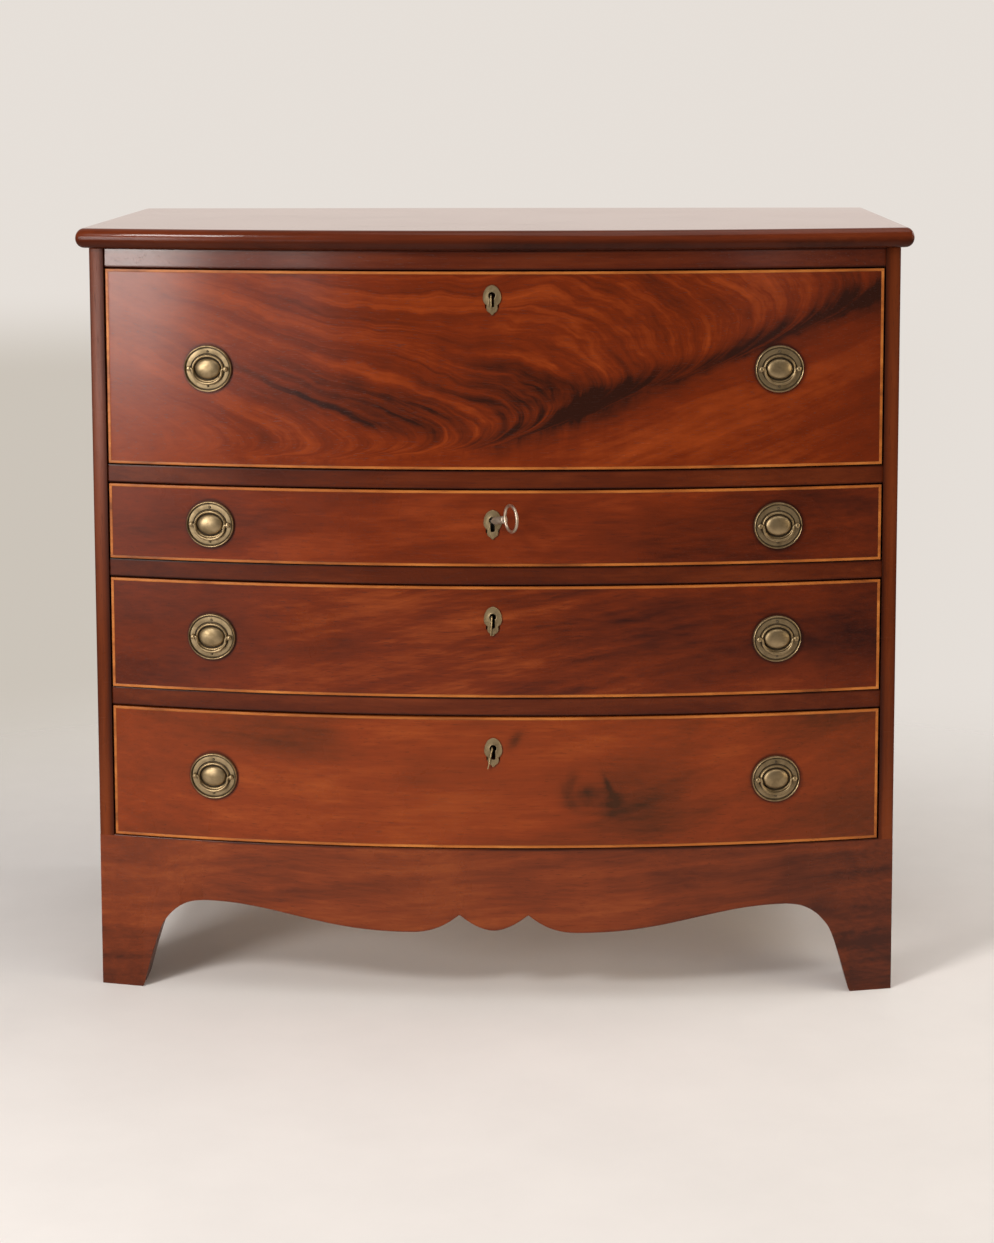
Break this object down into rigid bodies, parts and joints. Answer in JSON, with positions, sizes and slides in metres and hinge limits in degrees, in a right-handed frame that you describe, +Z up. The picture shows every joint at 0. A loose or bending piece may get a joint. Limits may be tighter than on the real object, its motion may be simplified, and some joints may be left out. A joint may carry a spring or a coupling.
{
  "type": "secretary chest of drawers",
  "caption": "Bow-fronted mahogany secretary chest: a fall-front desk drawer over long drawers, oval brass bail handles, a shaped apron and splayed bracket feet.",
  "frame": {"origin": "middle of the overall box, on the floor under the feet", "axes": "+X to the right seen from the front, along the longest side; the front looks along -Y; +Z up"},
  "size_m": [1.0092, 0.5841, 0.9434],
  "materials": {
    "mahogany": "polished",
    "flame_mahogany": "polished",
    "pine": "plain",
    "brass": "aged",
    "iron": "worn"
  },
  "bodies": {
    "carcass": {"top_board": "mahogany", "side_left": "mahogany", "side_right": "mahogany", "back_panel": "pine", "frieze_rail": "mahogany", "divider_1": "mahogany", "divider_2": "mahogany", "divider_3": "mahogany", "bottom_board": "pine", "apron": "mahogany"},
    "desk_drawer": {"desk_side_left": "mahogany", "desk_side_right": "mahogany", "desk_floor": "mahogany", "desk_back": "pine", "fall_hinge_left": "brass", "fall_hinge_right": "brass", "pigeonhole_case": "mahogany"},
    "fall": {"fall_front": "flame_mahogany", "stay_left": "brass", "stay_right": "brass", "plate_1_left": "brass", "plate_1_right": "brass", "escutcheon_1": "brass"},
    "small_drawer_left": {"small_drawer_left": "mahogany"},
    "small_drawer_right": {"small_drawer_right": "mahogany"},
    "drawer_2": {"drawer_2_front": "mahogany", "drawer_2_left": "pine", "drawer_2_right": "pine", "drawer_2_back": "pine", "drawer_2_bottom": "pine", "plate_2_left": "brass", "plate_2_right": "brass", "escutcheon_2": "brass", "lock_case": "iron"},
    "drawer_3": {"drawer_3_front": "mahogany", "drawer_3_left": "pine", "drawer_3_right": "pine", "drawer_3_back": "pine", "drawer_3_bottom": "pine", "plate_3_left": "brass", "plate_3_right": "brass", "escutcheon_3": "brass"},
    "drawer_4": {"drawer_4_front": "mahogany", "drawer_4_left": "pine", "drawer_4_right": "pine", "drawer_4_back": "pine", "drawer_4_bottom": "pine", "plate_4_left": "brass", "plate_4_right": "brass", "escutcheon_4": "brass"},
    "bail_1_left": {"bail_1_left": "brass"},
    "bail_1_right": {"bail_1_right": "brass"},
    "bail_2_left": {"bail_2_left": "brass"},
    "bail_2_right": {"bail_2_right": "brass"},
    "bail_3_left": {"bail_3_left": "brass"},
    "bail_3_right": {"bail_3_right": "brass"},
    "bail_4_left": {"bail_4_left": "brass"},
    "bail_4_right": {"bail_4_right": "brass"},
    "key": {"key": "iron"},
    "bolt": {"lock_bolt": "brass"}
  },
  "joints": [
    {"name": "desk_slide", "type": "slide", "parent": "carcass", "child": "desk_drawer", "axis": [0, -1, 0], "range_m": [0, 0.34]},
    {"name": "fall_hinge", "type": "hinge", "parent": "desk_drawer", "child": "fall", "pos_m": [0, -0.17258, 0.6732], "axis": [1, 0, 0], "range_deg": [0, 90]},
    {"name": "small_drawer_left_slide", "type": "slide", "parent": "desk_drawer", "child": "small_drawer_left", "axis": [0, -1, 0], "range_m": [0, 0.15]},
    {"name": "small_drawer_right_slide", "type": "slide", "parent": "desk_drawer", "child": "small_drawer_right", "axis": [0, -1, 0], "range_m": [0, 0.15]},
    {"name": "drawer_2_slide", "type": "slide", "parent": "carcass", "child": "drawer_2", "axis": [0, 1, 0], "range_m": [-0.36, 0]},
    {"name": "drawer_3_slide", "type": "slide", "parent": "carcass", "child": "drawer_3", "axis": [0, -1, 0], "range_m": [0, 0.36]},
    {"name": "drawer_4_slide", "type": "slide", "parent": "carcass", "child": "drawer_4", "axis": [0, -1, 0], "range_m": [0, 0.36]},
    {"name": "bail_1_left_swing", "type": "hinge", "parent": "fall", "child": "bail_1_left", "pos_m": [-0.34367, -0.21614, 0.7757], "axis": [-0.9875, 0.1579, 0], "range_deg": [0, 95]},
    {"name": "bail_1_right_swing", "type": "hinge", "parent": "fall", "child": "bail_1_right", "pos_m": [0.34367, -0.21614, 0.7757], "axis": [-0.9875, -0.1579, 0], "range_deg": [0, 95]},
    {"name": "bail_2_left_swing", "type": "hinge", "parent": "drawer_2", "child": "bail_2_left", "pos_m": [-0.34367, -0.21614, 0.5859], "axis": [-0.9875, 0.1579, 0], "range_deg": [0, 95]},
    {"name": "bail_2_right_swing", "type": "hinge", "parent": "drawer_2", "child": "bail_2_right", "pos_m": [0.34367, -0.21614, 0.5859], "axis": [-0.9875, -0.1579, 0], "range_deg": [0, 95]},
    {"name": "bail_3_left_swing", "type": "hinge", "parent": "drawer_3", "child": "bail_3_left", "pos_m": [-0.34367, -0.21614, 0.44735], "axis": [-0.9875, 0.1579, 0], "range_deg": [0, 95]},
    {"name": "bail_3_right_swing", "type": "hinge", "parent": "drawer_3", "child": "bail_3_right", "pos_m": [0.34367, -0.21614, 0.44735], "axis": [-0.9875, -0.1579, 0], "range_deg": [0, 95]},
    {"name": "bail_4_left_swing", "type": "hinge", "parent": "drawer_4", "child": "bail_4_left", "pos_m": [-0.34367, -0.21614, 0.27385], "axis": [-0.9875, 0.1579, 0], "range_deg": [0, 95]},
    {"name": "bail_4_right_swing", "type": "hinge", "parent": "drawer_4", "child": "bail_4_right", "pos_m": [0.34367, -0.21614, 0.27385], "axis": [-0.9875, -0.1579, 0], "range_deg": [0, 95]},
    {"name": "key_turn", "type": "hinge", "parent": "drawer_2", "child": "key", "pos_m": [0, -0.23914, 0.5952], "axis": [0.4961, -0.8422, 0.2113], "range_deg": [0, 180]},
    {"name": "bolt_throw", "type": "slide", "parent": "drawer_2", "child": "bolt", "axis": [0, 0, 1], "range_m": [0, 0.007]}
  ],
  "couplings": [
    {"joint": "fall_hinge", "follows": "desk_slide", "rad_per_m": 4.6199},
    {"joint": "key_turn", "follows": "bolt_throw", "rad_per_m": 448.79}
  ]
}
